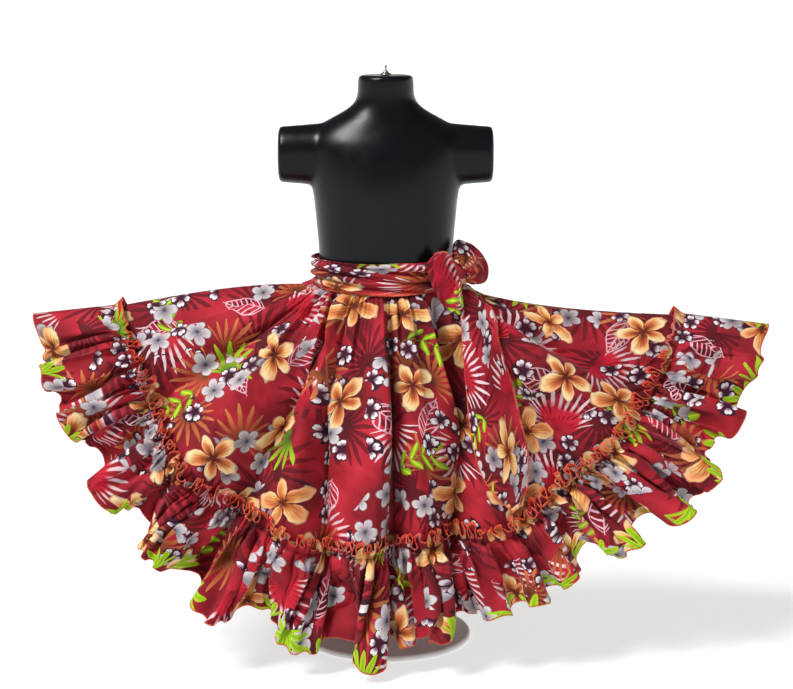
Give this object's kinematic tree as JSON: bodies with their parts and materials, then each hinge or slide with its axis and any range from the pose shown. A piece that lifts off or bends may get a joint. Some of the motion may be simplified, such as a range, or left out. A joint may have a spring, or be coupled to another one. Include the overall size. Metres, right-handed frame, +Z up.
{
  "type": "jibara skirt on a dress form",
  "caption": "Child's full-circle gathered skirt with a deep flounce and a tied sash, spread like a fan on a limbless dress form with a pole and round base.",
  "frame": {"origin": "centre of the round base's flat underside, on the floor", "axes": "+X towards the wearer's left, -Y towards the front, +Z up"},
  "size_m": [1.1062, 0.4173, 0.8744],
  "materials": {
    "printed_cotton": "plain-woven cotton, crimson ground with a tropical flower and leaf print",
    "overlock_thread": "orange-rust overlock stitching along the raw edges",
    "form_plastic": "glossy black moulded plastic",
    "finial_metal": "turned metal, slightly dull",
    "pole_metal": "satin steel tube",
    "base_paint": "white powder coat"
  },
  "bodies": {
    "root": {"waistband": "printed_cotton", "panel_front": "printed_cotton", "panel_back": "printed_cotton", "flounce_front": "printed_cotton", "flounce_back": "printed_cotton", "sash_wrap": "printed_cotton", "sash_knot": "printed_cotton", "sash_loop": "printed_cotton", "sash_short_end": "printed_cotton", "sash_long_end": "printed_cotton", "form_torso": "form_plastic", "neck_finial": "finial_metal", "stand_pole": "pole_metal", "stand_base": "base_paint"}
  },
  "joints": []
}
